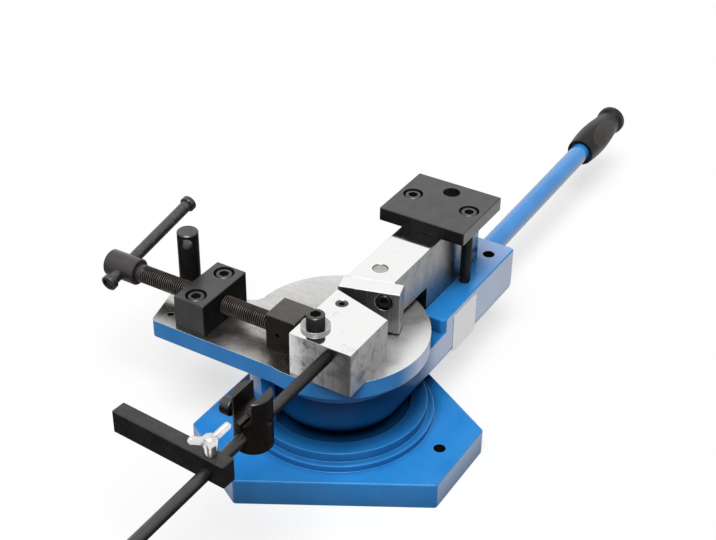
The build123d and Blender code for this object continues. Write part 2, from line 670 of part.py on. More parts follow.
def upright_pin():
    top = TABLE_TOP + PIN_H
    body = upright(PIN_X, PIN_Y, PIN_D, TABLE_TOP - PIN_DEPTH, top)
    body = chamfer(body.edges().sort_by(Axis.Z)[-1], PIN_EDGE)
    across = Vector(1, 0, 0).rotate(Axis.Z, PIN_EYE_TURN)
    start = Vector(PIN_X, PIN_Y, top - PIN_EYE_DROP) - across * PIN_D
    return body - round_bar(start, across, PIN_EYE_D, 2 * PIN_D)


# Swing arm casting: the hub, two cheeks beside the bending bar and a wall behind it
def swing_arm():
    hub = upright(0, 0, 2 * HUB_R, ARM_BOTTOM, ARM_FLOOR)
    body = hub + block((ARM_LEFT, HUB_R), (0, ARM_REAR), (ARM_BOTTOM, ARM_FLOOR))
    crotch = body.edges().filter_by(Axis.Z).filter_by_position(Axis.Y, 0, HUB_R).sort_by(Axis.X)[0]
    body = fillet(crotch, ARM_CROTCH_R)
    cheeks = block((ARM_LEFT, HUB_R), (LEDGE_FRONT, ARM_REAR), (ARM_FLOOR, LEDGE_TOP))
    cheeks = fillet(cheeks.edges().filter_by(Axis.Z).group_by(Axis.Y)[0], LEDGE_CORNER_R)
    body += cheeks
    body = fillet(body.edges().filter_by(Axis.Z).group_by(Axis.Y)[-1], ARM_CORNER_R)
    body = fillet(body.faces().sort_by(Axis.Z)[0].edges().sort_by(Axis.Y)[-1], ARM_TAIL_R)
    body = fillet(body.faces().sort_by(Axis.Z)[-1].edges(), LEDGE_EDGE_R)

    channel = (ARM_X - CHANNEL_W / 2, ARM_X + CHANNEL_W / 2)
    body -= block(channel, (LEDGE_FRONT, BAR_REAR), (ARM_FLOOR, LEDGE_TOP))
    wall = block(
        (ARM_X - WALL_W / 2, ARM_X + WALL_W / 2), (BAR_REAR, BAR_REAR + WALL_T), (LEDGE_TOP, WALL_TOP),
    )
    wall = fillet(wall.faces().sort_by(Axis.Z)[-1].edges(), LEDGE_EDGE_R)
    body += wall

    body -= upright(0, 0, SPINDLE_D + 2 * BUSH_WALL, ARM_BOTTOM, ARM_FLOOR)
    for seat in clamp_plate_seats():
        body -= upright(seat.origin.X, seat.origin.Y, SCREW_BIG, LEDGE_TOP - CLAMP_SCREW_DEPTH, LEDGE_TOP)
    for side in (-LEDGE_HOLE_PITCH / 2, LEDGE_HOLE_PITCH / 2):
        hole = (ARM_X + side, BAR_REAR + LEDGE_HOLE_BACK)
        body -= upright(*hole, LEDGE_HOLE_D, LEDGE_TOP - LEDGE_HOLE_DEPTH, LEDGE_TOP)
    return body - round_bar(handle_point(-HANDLE_DEPTH), HANDLE_DIRECTION, HANDLE_D, 2 * HANDLE_DEPTH)


def hub_bush():
    return tube(SPINDLE_D + 2 * BUSH_WALL, SPINDLE_D + 2 * RUN_FIT, ARM_BOTTOM, ARM_FLOOR)


# Bending bar: lies in the channel of the arm, with its front end over the table
def bar_front(x):
    return (PLATE_BACK + x * PLATE_ALONG[1]) / PLATE_ALONG[0]


def bending_bar():
    left, right = ARM_X - BAR_W / 2, ARM_X + BAR_W / 2
    outline = [(left, bar_front(left)), (right, bar_front(right)), (right, BAR_REAR), (left, BAR_REAR)]
    body = prism(outline, TABLE_TOP + BAR_LIFT, TOOL_TOP)
    body += block((left, right), (BAR_STEP, BAR_REAR), (ARM_FLOOR, TABLE_TOP + BAR_LIFT))
    top = body.faces().sort_by(Axis.Z)[-1]
    body = chamfer(top.edges(), BAR_EDGE)
    body -= upright(ARM_X + DOWEL_SIDE, DOWEL_Y, DOWEL_D, TOOL_TOP - DOWEL_L, TOOL_TOP)
    body = chamfer(top_rim(body, DOWEL_D), DOWEL_EDGE)
    for seat in plate_seats():
        body -= round_bar(seat.origin, -seat.z_dir, SCREW_SMALL, plate_screw_length())
    return body


def bar_dowel():
    body = upright(ARM_X + DOWEL_SIDE, DOWEL_Y, DOWEL_D, TOOL_TOP - DOWEL_L, TOOL_TOP - DOWEL_SUNK)
    return chamfer(top_rim(body, DOWEL_D), DOWEL_EDGE)


def plate_screw_length():
    return PLATE_T - sunk_depth(SCREW_SMALL) + PLATE_SCREW_DEPTH


def bending_plate():
    seat = Plane(
        origin=plate_point(0, 0, TABLE_TOP + PLATE_LIFT), x_dir=(*PLATE_ALONG, 0), z_dir=(0, 0, 1),
    )
    height = TOOL_H - PLATE_LIFT
    body = seat * Box(PLATE_L, PLATE_T, height, align=(Align.MIN, Align.MIN, Align.MIN))
    body = chamfer(body.faces().sort_by(Axis.Z)[-1].edges(), BAR_EDGE)
    for screw_seat in plate_seats():
        body -= counterbore(screw_seat, SCREW_SMALL, sunk_depth(SCREW_SMALL))
        body -= round_bar(screw_seat.origin, -screw_seat.z_dir, SCREW_SMALL + 2 * BOLT_PLAY, PLATE_T)
    return body


def plate_screws():
    return Compound([cap_screw(seat, SCREW_SMALL, plate_screw_length()) for seat in plate_seats()])


def clamp_plate():
    sides = (ARM_X - CLAMP_PLATE_W / 2, ARM_X + CLAMP_PLATE_W / 2)
    ends = (CLAMP_PLATE_REAR - CLAMP_PLATE_L, CLAMP_PLATE_REAR)
    body = block(sides, ends, (TOOL_TOP, TOOL_TOP + CLAMP_PLATE_T))
    body = chamfer(body.edges(), CLAMP_PLATE_EDGE)
    for seat in clamp_plate_seats():
        body -= counterbore(seat, SCREW_BIG, sunk_depth(SCREW_BIG))
        body -= upright(seat.origin.X, seat.origin.Y, SCREW_BIG + 2 * BOLT_PLAY, TOOL_TOP, seat.origin.Z)
    hole_y = CLAMP_PLATE_REAR - CLAMP_HOLE_INSET
    return body - upright(ARM_X, hole_y, CLAMP_HOLE_D, TOOL_TOP, TOOL_TOP + CLAMP_PLATE_T)


def clamp_plate_screws():
    length = clamp_plate_seats()[0].origin.Z - LEDGE_TOP + CLAMP_SCREW_DEPTH
    return Compound([cap_screw(seat, SCREW_BIG, length) for seat in clamp_plate_seats()])


# Handle: a tube sunk in the tail of the arm, with a rubber grip
def handle_point(along):
    return Vector(ARM_X, ARM_REAR, HANDLE_H) + Vector(HANDLE_DIRECTION) * along


def handle_tube():
    length = HANDLE_DEPTH + HANDLE_REACH - GRIP_END_T
    start = handle_point(-HANDLE_DEPTH)
    body = round_bar(start, HANDLE_DIRECTION, HANDLE_D, length)
    return body - round_bar(start, HANDLE_DIRECTION, HANDLE_D - 2 * HANDLE_WALL, length)


def handle_grip():
    neck = GRIP_L - GRIP_FLANGE_T - GRIP_NECK_W / 2
    belly = Spline(
        (GRIP_MOUTH_R, 0, 0), (GRIP_BELLY_R, 0, GRIP_BELLY_ALONG), (GRIP_NECK_R, 0, neck),
        tangents=[(0.12, 0, 1), (-0.1, 0, 1)],
    )
    rim = Polyline(
        (GRIP_NECK_R, 0, neck), (GRIP_FLANGE_R, 0, neck + GRIP_NECK_W / 2), (GRIP_FLANGE_R, 0, GRIP_L),
        (0, 0, GRIP_L), (0, 0, GRIP_L - GRIP_END_T), (HANDLE_D / 2, 0, GRIP_L - GRIP_END_T),
        (HANDLE_D / 2, 0, GRIP_LIP_L),
        (GRIP_MOUTH_R - GRIP_LIP_T, 0, GRIP_LIP_L), (GRIP_MOUTH_R - GRIP_LIP_T, 0, 0), (GRIP_MOUTH_R, 0, 0),
    )
    body = revolve(make_face([belly, rim]), Axis.Z)
    edges = body.edges().filter_by(GeomType.CIRCLE).filter_by(lambda edge: edge.radius > GRIP_NECK_R + 1)
    body = fillet(edges.sort_by(Axis.Z)[-2:], GRIP_EDGE_R)
    body = fillet(body.edges().filter_by(GeomType.CIRCLE).group_by(Axis.Z)[0], GRIP_LIP_R)
    seat = Plane(origin=handle_point(HANDLE_REACH - GRIP_L), x_dir=(1, 0, 0), z_dir=HANDLE_DIRECTION)
    return seat * body


# Length stop: a rod in the former, a slotted post and a stop bar that slide on it
def stop_rod():
    body = round_bar((ROD_X, ROD_START - ROD_L, ROD_Z), (0, 1, 0), ROD_D, ROD_L)
    return chamfer(body.edges().filter_by(GeomType.CIRCLE).sort_by(Axis.Y)[0], ROD_EDGE)


def rod_bore():
    start = (ROD_X, ROD_START - ROD_L, ROD_Z)
    return round_bar(start, (0, 1, 0), ROD_D + 2 * RUN_FIT, ROD_L)


def vee_post():
    top = ROD_Z + POST_TOP
    body = upright(ROD_X, POST_Y, POST_D, ROD_Z - POST_BOTTOM, top)
    body = chamfer(body.edges().filter_by(GeomType.CIRCLE), POST_EDGE)
    half = POST_SLOT_W / 2
    ends = (POST_Y - POST_D, POST_Y + POST_D)
    round_z = top - POST_SLOT_DEPTH + half
    body -= block((ROD_X - half, ROD_X + half), ends, (round_z, top))
    body -= round_bar((ROD_X, ends[0], round_z), (0, 1, 0), POST_SLOT_W, 2 * POST_D)
    body -= block((ROD_X - POST_SLIT_W / 2, ROD_X + POST_SLIT_W / 2), ends, (ROD_Z, round_z))
    body -= rod_bore()
    start = (ROD_X - POST_D, POST_Y, POST_SCREW_Z)
    return body - round_bar(start, (1, 0, 0), POST_SCREW_D + 2 * RUN_FIT, 2 * POST_D)


def post_screw():
    knob_face = ROD_X - POST_D / 2 - SLIDE_GAP
    shank = round_bar((knob_face, POST_Y, POST_SCREW_Z), (1, 0, 0), POST_SCREW_D, POST_D - POST_EDGE)
    neck = round_bar((knob_face, POST_Y, POST_SCREW_Z), (-1, 0, 0), POST_KNOB_NECK_D, POST_KNOB_NECK_L)
    knob_start = (knob_face - POST_KNOB_NECK_L, POST_Y, POST_SCREW_Z)
    knob = round_bar(knob_start, (-1, 0, 0), POST_KNOB_D, POST_KNOB_L)
    knob = fillet(knob.edges().filter_by(GeomType.CIRCLE), POST_KNOB_EDGE_R)
    return shank + neck + knob


def stop_bar():
    body = block((STOP_END - STOP_L, STOP_END), (-STOP_T / 2, STOP_T / 2), (-STOP_UNDER, STOP_SEAT))
    seat = Plane(origin=(ROD_X, STOP_Y, ROD_Z), x_dir=STOP_ALONG, z_dir=(0, 0, 1))
    body = seat * chamfer(body.edges(), STOP_EDGE)
    body -= rod_bore()
    return body - upright(ROD_X, STOP_Y, WING_SCREW_D + 2 * RUN_FIT, ROD_Z, ROD_Z + STOP_SEAT)


# Wing screw: a waisted hub with a domed top and two rising wings, rounded like a casting
def wing_screw():
    dome = WING_HUB_H + WING_DOME_H
    profile = make_face([
        Polyline((0, 0, dome), (0, 0, 0), (WING_FOOT_R, 0, 0), (WING_NECK_R, 0, WING_NECK_H)),
        Spline(
            (WING_NECK_R, 0, WING_NECK_H), (WING_HUB_R, 0, WING_HUB_H), (0, 0, dome),
            tangents=[(WING_NECK_R - WING_FOOT_R, 0, WING_NECK_H), (-1, 0, 0)],
        ),
    ])
    hub = revolve(profile, Axis.Z)
    tip = Vector(WING_SPAN / 2, 0, WING_TIP_H)
    rise = (tip - Vector(0, 0, (WING_ROOT_LOW + WING_ROOT_HIGH) / 2)).normalized()
    side = Vector(-rise.Z, 0, rise.X) * WING_TIP_R
    low, high = tip - side, tip + side
    outline = make_face([
        Polyline(high, (0, 0, WING_ROOT_HIGH), (0, 0, WING_ROOT_LOW), low),
        ThreePointArc(low, tip + rise * WING_TIP_R, high),
    ])
    wing = extrude(outline, WING_T / 2, dir=(0, 1, 0), both=True)
    wing = fillet(wing.faces().filter_by(Axis.Y).edges().filter_by_position(Axis.X, 1, WING_SPAN), WING_EDGE_R)
    lift = STOP_SEAT + SLIDE_GAP
    shank = upright(0, 0, WING_SCREW_D, ROD_D / 2 + SLIDE_GAP - lift, 0)
    seat = Pos(ROD_X, STOP_Y, ROD_Z + lift) * Rot(0, 0, WING_TURN)
    return seat * (hub + wing + Rot(0, 0, 180) * wing + shank)


PIECES = (
    base_plate, table, leg_screws, spindle, spindle_washer, spindle_nut, thrust_washers,
    former_block, former_washer, former_screw, former_grub,
    bracket, bracket_screws, jaw, jaw_grub, clamp_screw, tbar, tbar_caps, upright_pin,
    swing_arm, hub_bush, bending_bar, bar_dowel, bending_plate, plate_screws,
    clamp_plate, clamp_plate_screws, handle_tube, handle_grip,
    stop_rod, vee_post, post_screw, stop_bar, wing_screw,
)

os.makedirs("parts", exist_ok=True)
for piece in PIECES:
    export_step(piece(), f"parts/{piece.__name__}.step")
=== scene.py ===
import math

import bmesh
import bpy
from mathutils import Matrix, Vector


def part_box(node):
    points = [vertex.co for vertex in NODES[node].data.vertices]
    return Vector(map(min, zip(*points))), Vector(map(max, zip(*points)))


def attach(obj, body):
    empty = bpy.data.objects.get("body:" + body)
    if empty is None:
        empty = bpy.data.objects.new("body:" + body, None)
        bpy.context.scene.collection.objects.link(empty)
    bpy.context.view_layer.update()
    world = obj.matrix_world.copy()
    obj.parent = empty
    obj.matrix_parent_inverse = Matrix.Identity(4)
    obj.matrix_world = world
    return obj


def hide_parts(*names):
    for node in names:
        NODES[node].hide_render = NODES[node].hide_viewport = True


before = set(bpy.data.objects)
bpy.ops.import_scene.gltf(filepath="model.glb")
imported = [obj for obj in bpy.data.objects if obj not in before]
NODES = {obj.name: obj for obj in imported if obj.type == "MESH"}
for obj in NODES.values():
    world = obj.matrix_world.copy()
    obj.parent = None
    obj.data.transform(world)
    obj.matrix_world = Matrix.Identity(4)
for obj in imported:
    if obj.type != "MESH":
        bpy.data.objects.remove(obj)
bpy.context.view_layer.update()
MM = 0.001
FULL_TURN = 2 * math.pi

# Camera: angles in degrees, lens and sensor in millimetres
CAMERA_PLACE = Vector((0.6217, -1.0087, 0.9993))
CAMERA_TURN, CAMERA_TILT, CAMERA_ROLL = 30.726, 33.586, 0.798
CAMERA_LENS, CAMERA_SENSOR, CAMERA_NEAR = 70.15, 36.0, 0.01

# Light
KEY_FROM = Vector((0.18, -0.40, 0.90))
KEY_STRENGTH, KEY_ANGLE = 3.05, 34.0
SKY_STRENGTH = 0.12
FLOOR_HALF, FLOOR_DROP = 6.0, 0.2 * MM
FLOOR_TONE, FLOOR_SHOWN_TONE, FLOOR_GLOW = 0.16, 0.32, 0.68

# Colours, linear
BLUE_DEEP, BLUE_FULL = (0.020, 0.235, 0.640), (0.034, 0.278, 0.715)
BLUE_EDGE_HIGHLIGHT, BLUE_SHADE = (0.240, 0.560, 0.900), (0.001, 0.020, 0.075)
BORE_SHADE = (0.010, 0.010, 0.011)
TOP_DARK, TOP_LIGHT = (0.36, 0.352, 0.34), (0.62, 0.615, 0.60)
TOP_STAIN = (0.22, 0.165, 0.115)
GROUND_TOP_AND_HIGHLIGHT, GROUND_SIDE_AND_SHADE = (0.93, 0.928, 0.922), (0.18, 0.18, 0.184)
GROUND_SPOT_AND_SHADOW = (0.055, 0.053, 0.051)
OXIDE_DARK, OXIDE_LIGHT = (0.0085, 0.008, 0.0078), (0.016, 0.0148, 0.0142)
OXIDE_WORN = (0.13, 0.125, 0.12)
WARM_DARK, WARM_LIGHT = (0.011, 0.0085, 0.007), (0.026, 0.019, 0.0145)
POST_DARK, POST_LIGHT = (0.0058, 0.0047, 0.004), (0.0125, 0.0096, 0.0076)
PLUM_DARK, PLUM_LIGHT = (0.018, 0.0145, 0.0155), (0.040, 0.032, 0.035)
CLEAR_TINT, WARM_TINT, PLUM_TINT = (1.0, 1.0, 1.0), (1.0, 0.90, 0.80), (1.0, 0.92, 0.97)
GRUB_DARK = (0.0025, 0.0022, 0.002)
ROOT_DARK, CREST_WORN = (0.005, 0.0036, 0.0029), (0.22, 0.19, 0.165)
ZINC_SHADE = (0.15, 0.145, 0.14)
ZINC_DULL, ZINC_BRIGHT = (0.64, 0.64, 0.63), (0.86, 0.86, 0.85)
WASHER_DULL, WASHER_BRIGHT = (0.40, 0.40, 0.41), (0.52, 0.53, 0.54)
DOWEL_DULL, DOWEL_BRIGHT = (0.40, 0.39, 0.37), (0.55, 0.53, 0.50)
RUBBER_DARK, RUBBER_LIGHT = (0.010, 0.0093, 0.0086), (0.020, 0.0186, 0.0174)
RUBBER_WORN = (0.26, 0.25, 0.24)
BRONZE_DARK, BRONZE_LIGHT = (0.42, 0.26, 0.11), (0.66, 0.45, 0.21)
PLATE_DULL, PLATE_PALE = (0.86, 0.86, 0.865), (0.93, 0.93, 0.935)

# Finishes
NOISE_LOW, NOISE_HIGH = 0.3, 0.7
EDGE_FLAT, EDGE_SHARP = 0.995, 0.80
RIM_SLANT, RIM_FILM = (0.66, 0.86), 0.2
PAINT_INDEX, ARM_INDEX, TUBE_INDEX = 1.27, 1.14, 1.6
FILM_INDEX, ARM_FILM_INDEX, FILM_ROUGH = 3.0, 3.8, 0.15
FILM_MOST, TUBE_FILM_MOST = 0.9, 0.25
PAINT_WAVE, SHADE_REACH = 0.55 * MM, 70 * MM
OXIDE_INDEX, THREAD_INDEX, RUBBER_INDEX, PLATE_INDEX = 1.05, 1.2, 1.25, 1.5
OIL_INDEX, PLATE_FILM_INDEX = 1.8, 3.6
TURNED_ROUGH = (0.24, 0.36)
# Painted shade under the table: the radii where it starts to lift and has gone, and how open it is
# inside
HUB_SHELTER, RING_SHELTER = (74 * MM, 112 * MM, 0.38), (84 * MM, 116 * MM, 0.46)
# Depths below the table's top: of the bare metal, and of the rim whose paint is polished
BARE_BAND, POLISHED_BAND = (1.6 * MM, 1.4 * MM), (30 * MM, 22 * MM)
# Grain, as how often it changes along x, y and z
TABLE_LAY, MILLED_LAY, TURNED_LAY = (60, 620, 60), (60, 60, 1500), (60, 60, 1600)
FORMER_TOP_LAY, FORMER_SIDE_LAY = (1200, 40, 40), (900, 900, 30)
BAR_TOP_LAY, BAR_SIDE_LAY = (1200, 30, 30), (900, 900, 40)
# Painted reflection and shadow on the front of the former: pale up to the first x, plain at the
# second, dark from the third
FORMER_FADE = (6 * MM, 34 * MM, 78 * MM)
# Oil on the stop rod: from y and to y, and how much there is at each
ROD_FADE = (-200 * MM, -105 * MM, 1.0, 0.2)

# Bores that show, as x, y and radius
BENCH_R, BENCH_BORE_R = 125 * MM, 6.5 * MM
BENCH_TURNS = [math.radians(turn) for turn in (0, 120, 240)]
BASE_BORES = [(BENCH_R * math.cos(t), BENCH_R * math.sin(t), BENCH_BORE_R) for t in BENCH_TURNS]
TABLE_BORES = [(-162.7 * MM, -75.55 * MM, 3.5 * MM)]
ARM_BORES = [(x, 245.3 * MM, 6.85 * MM) for x in (-13.5 * MM, 53.5 * MM)]
BORE_OUTER, BORE_INNER = 0.30 * MM, 0.05 * MM

# Clamp screw thread: M20 by 2.5, with a plain neck next to the head
CLAMP_MID = (-52.15 * MM, 160.5 * MM)
CLAMP_R, CLAMP_PITCH, CLAMP_SPAN = 10.0 * MM, 2.5 * MM, (-220.8 * MM, -45.0 * MM)
CLAMP_START, CLAMP_AROUND = CLAMP_SPAN[0] + 8.0 * MM, 64
# Post screw thread: M8 by 1.25
POST_MID = (-218.7 * MM, 193.2 * MM)
POST_R, POST_PITCH, POST_SPAN = 4.0 * MM, 1.25 * MM, (25.5 * MM, 61.5 * MM)
POST_AROUND = 32
# Both threads: the depth as a part of the pitch, the root and flank as parts of half of it
THREAD_DEPTH, THREAD_ROOT, THREAD_FLANK = 0.56, 0.12, 0.72
RINGS_A_TURN = 8
# Cap head of the former screw
FORMER_MID = (17.0 * MM, -71.5 * MM)
FORMER_R, FORMER_SPAN = 9.525 * MM, (194.2 * MM, 206.106 * MM)
KNURL_COUNT, KNURL_DEPTH, KNURL_PLAIN = 48, 0.28 * MM, 1.1 * MM
KNURL_RINGS, KNURL_STEPS = 24, 4
# How near the mesh of a node keeps to its round stretch, outwards and along
ROUND_SLACK, SPAN_SLACK = 0.03 * MM, 0.01 * MM
SMOOTH_ANGLE = 32

# Bare plate on the side of the arm
PLATE_FACE = 74.0 * MM
PLATE_Y, PLATE_Z = (121 * MM, 175 * MM), (59 * MM, 109 * MM)
PLATE_T, PLATE_R, PLATE_EDGE = 0.5 * MM, 2.5 * MM, 0.15 * MM
PLATE_CORNER_STEPS = 6

# Grip pads: two ovals, whose turns are from straight up, in degrees
GRIP_FROM, GRIP_SLOPE = Vector((20 * MM, 273 * MM, 71.4 * MM)), 1.2
PAD_ALONG, PAD_HALF_ANGLE, PAD_MEAN_R = (334 * MM, 408 * MM), 40.0, 19.5 * MM
PAD_TURNS = (52.0, 232.0)
PAD_PITCH, PAD_STEPS, PAD_RISE, PAD_SINK = 3.4 * MM, 6, 0.75 * MM, 0.5 * MM
PAD_BASE, PAD_BORDER, PAD_OUTSIDE = 0.1, 0.10, -0.02
WEAR_FROM, WEAR_GAIN = 0.62, 3.2


class Looks:
    """A material's nodes, built around one Principled shader."""

    def __init__(self, name, **fixed):
        self.material = bpy.data.materials.new(name)
        self.material.use_nodes = True
        self.tree = self.material.node_tree
        self.shader = self.tree.nodes["Principled BSDF"]
        self.spot = self.add("TexCoord").outputs["Object"]
        for socket, value in fixed.items():
            self.shade(socket.replace("_", " "), value)

    def add(self, kind, **settings):
        node = self.tree.nodes.new("ShaderNode" + kind)
        for name, value in settings.items():
            setattr(node, name, value)
        return node

    def give(self, socket, value):
        if isinstance(value, bpy.types.NodeSocket):
            self.tree.links.new(value, socket)
        elif isinstance(value, tuple) and len(value) == 3 and socket.type == "RGBA":
            socket.default_value = (*value, 1.0)
        else:
            socket.default_value = value

    def shade(self, socket, value):
        self.give(self.shader.inputs[socket], value)

    def noise(self, scale, detail, stretch=(1.0, 1.0, 1.0), roughness=0.5, twist=0.0):
        spread = self.add("Mapping")
        spread.inputs["Scale"].default_value = stretch
        self.give(spread.inputs["Vector"], self.spot)
        node = self.add("TexNoise")
        self.give(node.inputs["Vector"], spread.outputs["Vector"])
        self.give(node.inputs["Scale"], scale)
        self.give(node.inputs["Detail"], detail)
        self.give(node.inputs["Roughness"], roughness)
        self.give(node.inputs["Distortion"], twist)
        return node.outputs["Fac"]

    def ramp(self, value, low, high, to_low=0.0, to_high=1.0):
        node = self.add("MapRange", clamp=True)
        for socket, entry in zip(node.inputs[:5], (value, low, high, to_low, to_high)):
            self.give(socket, entry)
        return node.outputs["Result"]

    def spread(self, noise, to_low=0.0, to_high=1.0):
        """The middle of a noise over the whole of a range."""
        return self.ramp(noise, NOISE_LOW, NOISE_HIGH, to_low, to_high)

    def calc(self, operation, first, second):
        node = self.add("Math", operation=operation)
        self.give(node.inputs[0], first)
        self.give(node.inputs[1], second)
        return node.outputs[0]

    def times(self, first, second):
        return self.calc("MULTIPLY", first, second)

    def plus(self, first, second):
        return self.calc("ADD", first, second)

    def minus(self, first, second):
        return self.calc("SUBTRACT", first, second)

    def larger(self, first, second):
        return self.calc("MAXIMUM", first, second)

    def power(self, first, second):
        return self.calc("POWER", first, second)

    def blend(self, factor, first, second):
        node = self.add("Mix", data_type="RGBA")
        for socket, value in zip((0, 6, 7), (factor, first, second)):
            self.give(node.inputs[socket], value)
        return node.outputs[2]

    def mix(self, factor, first, second):
        node = self.add("Mix", data_type="FLOAT")
        for socket, value in zip((0, 2, 3), (factor, first, second)):
            self.give(node.inputs[socket], value)
        return node.outputs[0]

    def split(self, vector):
        node = self.add("SeparateXYZ")
        self.give(node.inputs[0], vector)
        return node.outputs

    def facing(self):
        return self.split(self.add("TexCoord").outputs["Normal"])

    def rounded(self, radius):
        node = self.add("Bevel", samples=6)
        self.give(node.inputs["Radius"], radius)
        return node.outputs["Normal"]

    def edges(self, radius):
        """One on edges, out to about the radius, and none on flat faces."""
        turn = self.add("VectorMath", operation="DOT_PRODUCT")
        self.give(turn.inputs[0], self.rounded(radius))
        self.give(turn.inputs[1], self.add("NewGeometry").outputs["Normal"])
        return self.ramp(turn.outputs["Value"], EDGE_FLAT, EDGE_SHARP)

    def openness(self, reach):
        node = self.add("AmbientOcclusion", samples=8)
        self.give(node.inputs["Distance"], reach)
        return node.outputs["AO"]

    def relief(self, height, distance, normal):
        node = self.add("Bump")
        self.give(node.inputs["Height"], height)
        self.give(node.inputs["Distance"], distance)
        self.give(node.inputs["Normal"], normal)
        return node.outputs["Normal"]


def gloss(looks, low, high, most, keep=None):
    """A clear film that shows at a slant: none where seen square on, and less again at the rim."""
    slant = looks.add("LayerWeight").outputs["Facing"]
    rise = looks.ramp(slant, low, high, 0.0, most)
    film = looks.times(rise, looks.ramp(slant, *RIM_SLANT, 1.0, RIM_FILM))
    looks.shade("Coat Weight", film if keep is None else looks.times(film, keep))


def away_from(looks, x, y):
    """How far each point is from the upright line through x and y."""
    flat = looks.add("VectorMath", operation="MULTIPLY")
    looks.give(flat.inputs[0], looks.spot)
    looks.give(flat.inputs[1], (1.0, 1.0, 0.0))
    away = looks.add("VectorMath", operation="DISTANCE")
    looks.give(away.inputs[0], flat.outputs["Vector"])
    looks.give(away.inputs[1], (x, y, 0.0))
    return away.outputs["Value"]


def bored(looks, holes):
    """One on the walls of the upright holes, none elsewhere."""
    total = 0.0
    for x, y, radius in holes:
        away = away_from(looks, x, y)
        total = looks.larger(looks.ramp(away, radius + BORE_OUTER, radius + BORE_INNER), total)
    return total


def paint(name, index=PAINT_INDEX, film_index=FILM_INDEX):
    return Looks(name, IOR=index, Coat_IOR=film_index, Coat_Roughness=FILM_ROUGH)


def paint_colour(looks, openness):
    """Blue with a painted highlight along its edges and painted shade in its recesses."""
    tone = looks.ramp(looks.noise(24, 3), 0.32, 0.68)
    fresh = looks.blend(tone, BLUE_DEEP, BLUE_FULL)
    # Painted highlight: the edges turn paler blue, unevenly along them
    uneven = looks.ramp(looks.noise(70, 3), 0.35, 0.65, 0.4, 1.0)
    whole = looks.blend(looks.times(looks.edges(1.8 * MM), uneven), fresh, BLUE_EDGE_HIGHLIGHT)
    # Painted shade: the blue darkens where little is open around the surface
    return looks.blend(looks.ramp(openness, 0.20, 0.72, 0.12, 1.0), BLUE_SHADE, whole)


def paint_film(looks, openness, bare, most=FILM_MOST):
    """Polish of the paint: sooner on level faces, none in the recesses and on bare metal."""
    level = looks.ramp(looks.facing()[2], 0.6, 0.9)
    keep = looks.times(looks.ramp(openness, 0.5, 0.95), looks.minus(1.0, bare))
    gloss(looks, looks.mix(level, 0.41, 0.42), looks.mix(level, 0.62, 0.465), most, keep)


def paint_roughness(looks):
    return looks.spread(looks.noise(75, 3), 0.13, 0.25)


def enamel(name, holes, index, film, film_index, shelter=None):
    """Enamel on a casting, with painted shade in its bare bores and the painted shade of what
    stands over its middle.
    """
    looks = paint(name, index, film_index)
    bare, openness = bored(looks, holes), looks.openness(SHADE_REACH)
    if shelter:
        # Painted shadow of the table: less open towards the middle
        shade = looks.ramp(away_from(looks, 0.0, 0.0), *shelter, 1.0)
        openness = looks.times(openness, shade)
    # Painted shade: the walls of the bores are near black
    looks.shade("Base Color", looks.blend(bare, paint_colour(looks, openness), BORE_SHADE))
    looks.shade("Roughness", paint_roughness(looks))
    cast = looks.relief(looks.noise(38, 2), PAINT_WAVE, looks.rounded(0.9 * MM))
    looks.shade("Normal", looks.relief(looks.noise(330, 2), 0.035 * MM, cast))
    paint_film(looks, openness, bare, film)
    return looks.material


def machined_table(top):
    """Enamel on the casting, and bare machined metal on its top face."""
    looks = paint("enamel_and_machined_top")
    openness = looks.openness(SHADE_REACH)
    x, y, height = looks.split(looks.spot)
    depth_low, depth_high = BARE_BAND
    level = looks.ramp(looks.facing()[2], 0.55, 0.62)
    bare = looks.times(level, looks.ramp(height, top - depth_low, top - depth_high))
    lines = looks.noise(1.0, 4, TABLE_LAY, 0.65, 0.2)
    clouds = looks.noise(19, 5, roughness=0.65, twist=0.9)
    specks = looks.noise(520, 3, roughness=0.75)
    stains = looks.noise(27, 4, roughness=0.6, twist=0.6)
    mixed = looks.plus(looks.times(lines, 0.42), looks.times(clouds, 0.58))
    metal = looks.blend(looks.ramp(mixed, 0.38, 0.62), TOP_DARK, TOP_LIGHT)
    metal = looks.blend(looks.ramp(specks, 0.54, 0.70, 0.0, 0.55), metal, TOP_STAIN)
    metal = looks.blend(looks.ramp(stains, 0.54, 0.72, 0.0, 0.6), metal, TOP_STAIN)
    # Painted reflection: the metal is paler towards the back left and towards the right
    bright = looks.ramp(looks.minus(y, x), 20 * MM, 130 * MM, 0.0, 0.5)
    bright = looks.larger(bright, looks.ramp(x, 35 * MM, 90 * MM, 0.0, 0.95))
    metal = looks.blend(bright, metal, GROUND_TOP_AND_HIGHLIGHT)
    # Painted highlight: paler edges on the machined top
    metal = looks.blend(looks.times(looks.edges(0.9 * MM), 0.8), metal, GROUND_TOP_AND_HIGHLIGHT)
    hole = bored(looks, TABLE_BORES)
    colour = looks.blend(bare, paint_colour(looks, openness), metal)
    # Painted shade: the wall of the bore is near black
    looks.shade("Base Color", looks.blend(hole, colour, BORE_SHADE))
    looks.shade("Metallic", bare)
    metal_roughness = looks.spread(clouds, 0.22, 0.40)
    looks.shade("Roughness", looks.mix(bare, paint_roughness(looks), metal_roughness))
    wave = looks.mix(bare, looks.noise(38, 2), looks.times(lines, 0.03))
    looks.shade("Normal", looks.relief(wave, PAINT_WAVE, looks.rounded(0.8 * MM)))
    depth_low, depth_high = POLISHED_BAND
    disc = looks.ramp(height, top - depth_low, top - depth_high)
    disc = looks.times(disc, looks.ramp(x, 20 * MM, 70 * MM))
    paint_film(looks, looks.times(openness, disc), looks.larger(bare, hole))
    return looks.material


